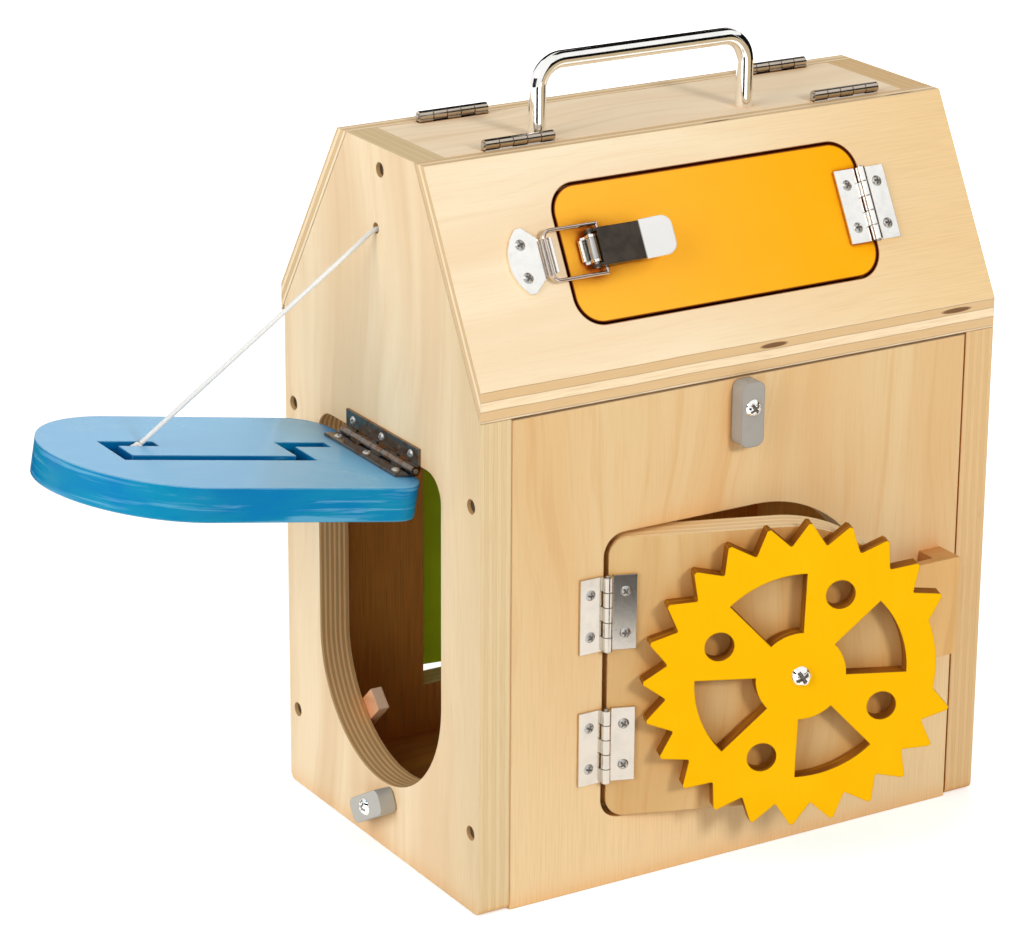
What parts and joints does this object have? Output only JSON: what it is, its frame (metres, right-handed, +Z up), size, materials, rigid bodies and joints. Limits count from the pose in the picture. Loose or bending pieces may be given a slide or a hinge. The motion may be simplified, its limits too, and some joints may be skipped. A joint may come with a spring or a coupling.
{
  "type": "wooden busy board house",
  "caption": "House-shaped wooden lock box with hinged roof lids, a latched hatch, a gear door, turn buttons, a corded drop door and a carry handle.",
  "frame": {"origin": "middle of the house's flat base, on the surface it stands on", "axes": "+Z up; -Y out of the front face with the gear door; -X out of the side with the drop door"},
  "size_m": [0.3833, 0.2261, 0.3251],
  "materials": {
    "gable_wood": "pale sanded birch plywood, warm white cut edges with visible layers",
    "panel_wood": "sanded plywood, clear oil",
    "roof_wood": "pale thin plywood, sanded",
    "floor_wood": "plain plywood",
    "block_wood": "pale solid wood, sanded",
    "orange_paint": "water-based orange paint on plywood, satin",
    "yellow_paint": "water-based yellow paint on plywood, satin",
    "blue_paint": "water-based blue paint on plywood, satin",
    "green_paint": "water-based green paint on plywood, satin",
    "grey_plastic": "moulded grey plastic, matte",
    "chrome_rod": "polished chrome plating",
    "nickel_hinge": "nickel-plated pressed steel",
    "dark_hinge": "nickel-plated pressed steel, darker",
    "screw_steel": "zinc-plated steel",
    "cord_white": "braided white cotton cord"
  },
  "bodies": {
    "case": {"left_gable": "gable_wood", "right_gable": "gable_wood", "front_panel": "panel_wood", "back_panel": "panel_wood", "floor_board": "floor_wood", "ridge_board": "roof_wood", "case_screws": "screw_steel", "gear_keeper": "block_wood", "stop_block": "block_wood", "handle": "chrome_rod", "handle_screws": "screw_steel", "ridge_fixed_leaves": "nickel_hinge", "ridge_pins": "screw_steel", "gear_frame_leaves": "nickel_hinge", "gear_hinge_pins": "screw_steel", "gear_frame_screws": "screw_steel", "button_screws": "screw_steel", "drop_frame_leaf": "dark_hinge", "drop_hinge_pin": "screw_steel", "drop_frame_screws": "screw_steel", "back_frame_leaves": "nickel_hinge", "back_hinge_pins": "screw_steel", "back_frame_screws": "screw_steel", "cord_inside": "cord_white"},
    "front_roof": {"front_lid": "roof_wood", "front_lid_leaves": "nickel_hinge", "hatch_lid_leaf": "nickel_hinge", "hatch_pin": "screw_steel", "hatch_lid_screws": "screw_steel", "strike_plate": "nickel_hinge", "strike_screws": "screw_steel"},
    "rear_roof": {"rear_lid": "roof_wood", "rear_lid_leaves": "nickel_hinge"},
    "hatch_flap": {"hatch": "orange_paint", "hatch_leaf": "nickel_hinge", "hatch_screws": "screw_steel", "latch_base": "nickel_hinge", "latch_base_screws": "screw_steel", "latch_pin": "screw_steel"},
    "lever": {"latch_lever": "nickel_hinge"},
    "bail": {"latch_bail": "chrome_rod"},
    "gear_panel": {"gear_door": "panel_wood", "gear_door_leaves": "nickel_hinge", "gear_door_screws": "screw_steel", "gear_washer": "screw_steel", "gear_axle_screw": "chrome_rod"},
    "gear_wheel": {"gear": "yellow_paint"},
    "front_turn": {"front_button": "grey_plastic"},
    "side_turn": {"side_button": "grey_plastic"},
    "drop_panel": {"drop_door": "blue_paint", "drop_door_leaf": "dark_hinge", "drop_door_screws": "screw_steel"},
    "cord_line": {"cord": "cord_white"},
    "back_flap": {"back_door": "green_paint", "back_door_leaves": "nickel_hinge", "back_door_screws": "screw_steel"}
  },
  "joints": [
    {"name": "front_lid_hinge", "type": "hinge", "parent": "case", "child": "front_roof", "pos_m": [0, -0.027, 0.2947], "axis": [-1, 0, 0], "range_deg": [0, 110]},
    {"name": "rear_lid_hinge", "type": "hinge", "parent": "case", "child": "rear_roof", "pos_m": [0, 0.0229, 0.2947], "axis": [1, 0, 0], "range_deg": [0, 110]},
    {"name": "hatch_hinge", "type": "hinge", "parent": "front_roof", "child": "hatch_flap", "pos_m": [0.0705, -0.0575, 0.25686], "axis": [0, 0.4808, 0.8768], "range_deg": [0, 120]},
    {"name": "latch_lever_pivot", "type": "hinge", "parent": "hatch_flap", "child": "lever", "pos_m": [-0.0595, -0.05917, 0.25777], "axis": [0, -0.4808, -0.8768], "range_deg": [0, 125]},
    {"name": "latch_bail_pivot", "type": "hinge", "parent": "lever", "child": "bail", "pos_m": [-0.0553, -0.05847, 0.25738], "axis": [0, -0.4808, -0.8768], "range_deg": [-150, 0]},
    {"name": "gear_door_hinge", "type": "hinge", "parent": "case", "child": "gear_panel", "pos_m": [-0.06395, -0.0798, 0.0885], "axis": [0, 0, -1], "range_deg": [-19.5, 80]},
    {"name": "gear_spin", "type": "hinge", "parent": "gear_panel", "child": "gear_wheel", "pos_m": [0.00912, -0.10323, 0.087], "axis": [-0.3338, -0.9426, 0], "continuous": true},
    {"name": "front_button_turn", "type": "hinge", "parent": "case", "child": "front_turn", "pos_m": [-0.0016, -0.0775, 0.1916], "axis": [0, -1, 0], "continuous": true},
    {"name": "side_button_turn", "type": "hinge", "parent": "case", "child": "side_turn", "pos_m": [-0.12, 0.0001, 0.0185], "axis": [-1, 0, 0], "continuous": true},
    {"name": "drop_door_hinge", "type": "hinge", "parent": "case", "child": "drop_panel", "pos_m": [-0.1223, -0.0043, 0.1713], "axis": [0, 1, 0], "range_deg": [-100.3, 0]},
    {"name": "cord_swing", "type": "hinge", "parent": "case", "child": "cord_line", "pos_m": [-0.1212, 0.0012, 0.259], "axis": [0, 1, 0], "range_deg": [-50.15, 0]},
    {"name": "back_door_hinge", "type": "hinge", "parent": "case", "child": "back_flap", "pos_m": [0.06325, 0.0798, 0.0925], "axis": [0, 0, -1], "range_deg": [-8, 90]}
  ],
  "couplings": [
    {"joint": "latch_bail_pivot", "follows": "latch_lever_pivot", "ratio": -1.2},
    {"joint": "cord_swing", "follows": "drop_door_hinge", "ratio": 0.5}
  ]
}
